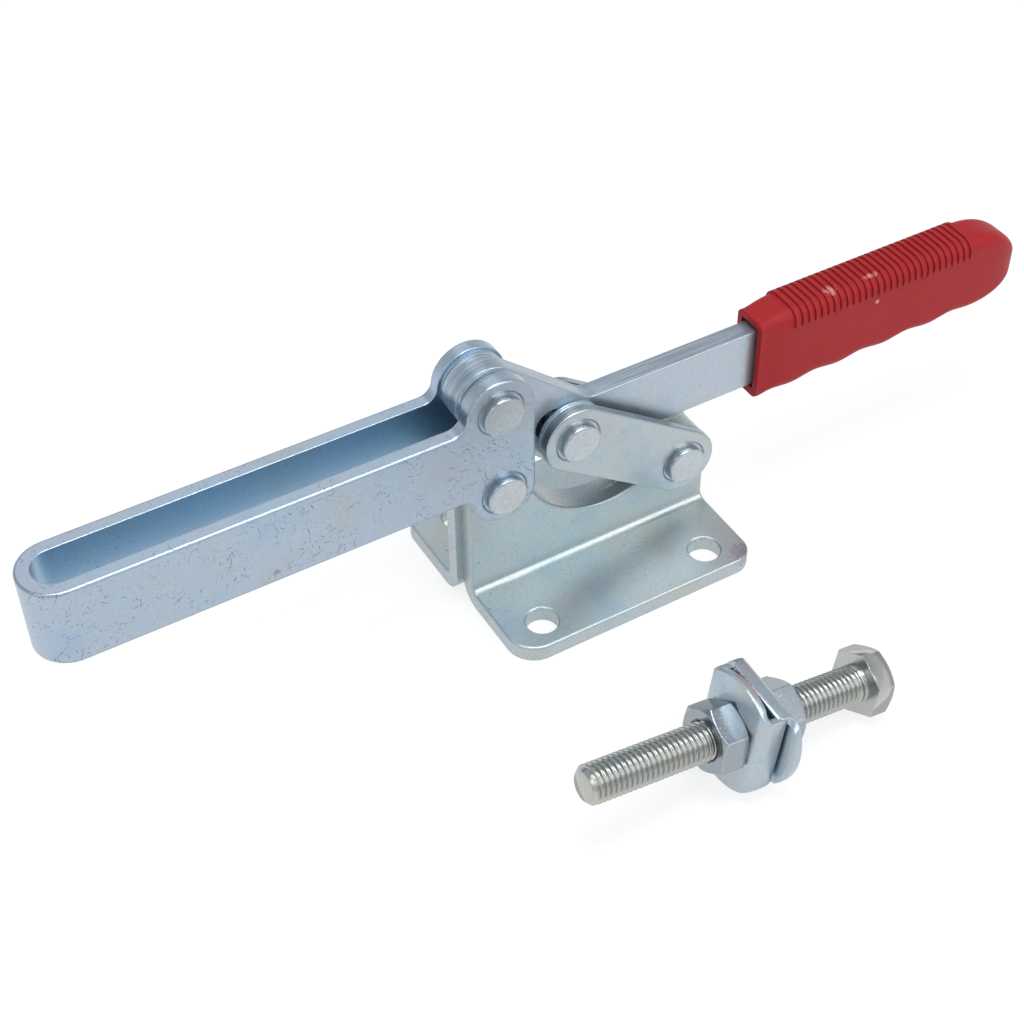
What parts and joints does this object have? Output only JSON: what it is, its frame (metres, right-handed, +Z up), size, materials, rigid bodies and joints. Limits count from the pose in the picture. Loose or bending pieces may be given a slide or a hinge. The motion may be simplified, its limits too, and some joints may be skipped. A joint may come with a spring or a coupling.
{
  "type": "toggle clamp",
  "caption": "Horizontal-handle toggle clamp: flanged base of bent plates, slotted U-bar arm, riveted link pair, ribbed dipped grip and a screw spindle with nuts and flanged washers.",
  "frame": {"origin": "centre of the four mounting holes, on the underside of the base flanges", "axes": "+Z up from the mounting face, +X towards the handle grip, the clamping arm reaches towards -X, the spindle set lies on the -Y side"},
  "size_m": [0.3456, 0.1563, 0.0926],
  "materials": {
    "zinc_plate": "bright zinc plated steel plate, bluish, lightly scratched",
    "zinc_pin": "bright zinc plated rivet head",
    "zinc_washer": "bright zinc plated washer",
    "zinc_hardware": "bright zinc plated fastener",
    "red_grip": "satin red moulded vinyl"
  },
  "bodies": {
    "base": {"base_plate_near": "zinc_plate", "base_plate_far": "zinc_plate", "spindle_bolt": "zinc_hardware", "spindle_nut_front": "zinc_hardware", "spindle_nut_rear": "zinc_hardware", "flanged_washer_front": "zinc_hardware", "flanged_washer_rear": "zinc_hardware"},
    "arm": {"u_bar_arm": "zinc_plate", "pin_arm_handle": "zinc_pin", "pin_base_arm": "zinc_pin", "handle_spacer_near": "zinc_washer", "handle_spacer_far": "zinc_washer", "arm_washer_near": "zinc_washer", "arm_washer_far": "zinc_washer"},
    "links": {"link_near": "zinc_plate", "link_far": "zinc_plate", "pin_link_handle": "zinc_pin", "pin_base_link": "zinc_pin", "link_washer_near": "zinc_washer", "link_washer_far": "zinc_washer", "toggle_ring_near_1": "zinc_washer", "toggle_ring_near_2": "zinc_washer", "toggle_ring_near_3": "zinc_washer", "toggle_ring_far_1": "zinc_washer", "toggle_ring_far_2": "zinc_washer", "toggle_ring_far_3": "zinc_washer"},
    "handle": {"handle_lever": "zinc_plate", "handle_grip": "red_grip"}
  },
  "joints": [
    {"name": "arm_swing", "type": "hinge", "parent": "base", "child": "arm", "pos_m": [-0.0338, 0, 0.0486], "axis": [0, 1, 0], "range_deg": [0, 60]},
    {"name": "handle_swing", "type": "hinge", "parent": "arm", "child": "handle", "pos_m": [-0.0345, 0, 0.0803], "axis": [0, 1, 0], "range_deg": [-119.3, 0]},
    {"name": "link_swing", "type": "hinge", "parent": "base", "child": "links", "pos_m": [0.033, 0, 0.0279], "axis": [0, 1, 0], "range_deg": [0, 50.4]}
  ],
  "couplings": [
    {"joint": "handle_swing", "follows": "arm_swing", "ratio": -1.9867},
    {"joint": "link_swing", "follows": "arm_swing", "ratio": 0.8378}
  ]
}
